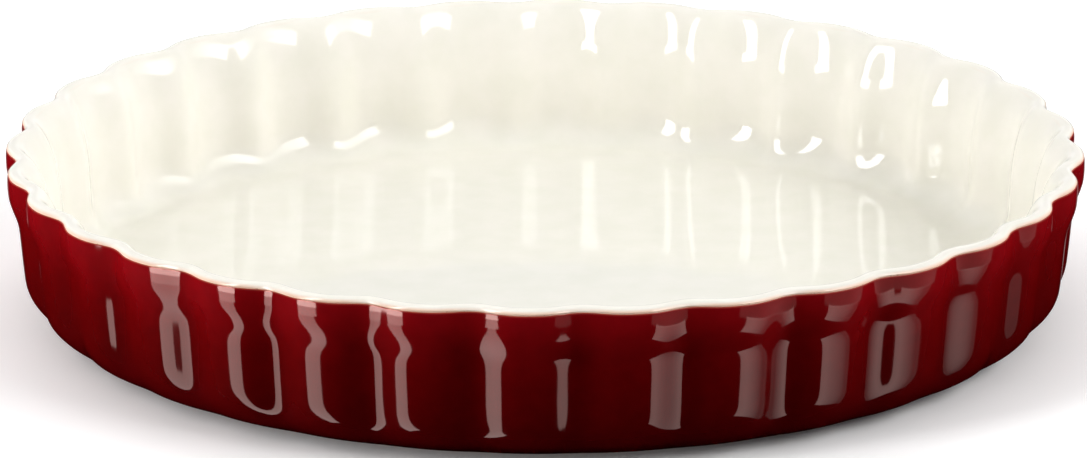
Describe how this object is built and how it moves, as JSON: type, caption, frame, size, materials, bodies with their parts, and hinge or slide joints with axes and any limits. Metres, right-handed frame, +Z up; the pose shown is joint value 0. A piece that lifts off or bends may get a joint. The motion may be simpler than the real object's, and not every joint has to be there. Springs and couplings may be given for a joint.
{
  "type": "pie dish",
  "caption": "Round fluted stoneware pie dish with an upright wall, a low collar under the lip, a flat floor and a bare foot ring; cream glaze inside, burgundy outside.",
  "frame": {"origin": "centre of the foot ring's underside, on the table", "axes": "+Z up along the dish's axis; +X through the crest of a flute"},
  "size_m": [0.2806, 0.2806, 0.045],
  "materials": {
    "fired_clay": "matte",
    "cream_glaze": "gloss",
    "burgundy_glaze": "gloss"
  },
  "bodies": {
    "root": {"stoneware_body": "fired_clay", "inner_glaze": "cream_glaze", "outer_glaze": "burgundy_glaze", "base_glaze": "burgundy_glaze"}
  },
  "joints": []
}
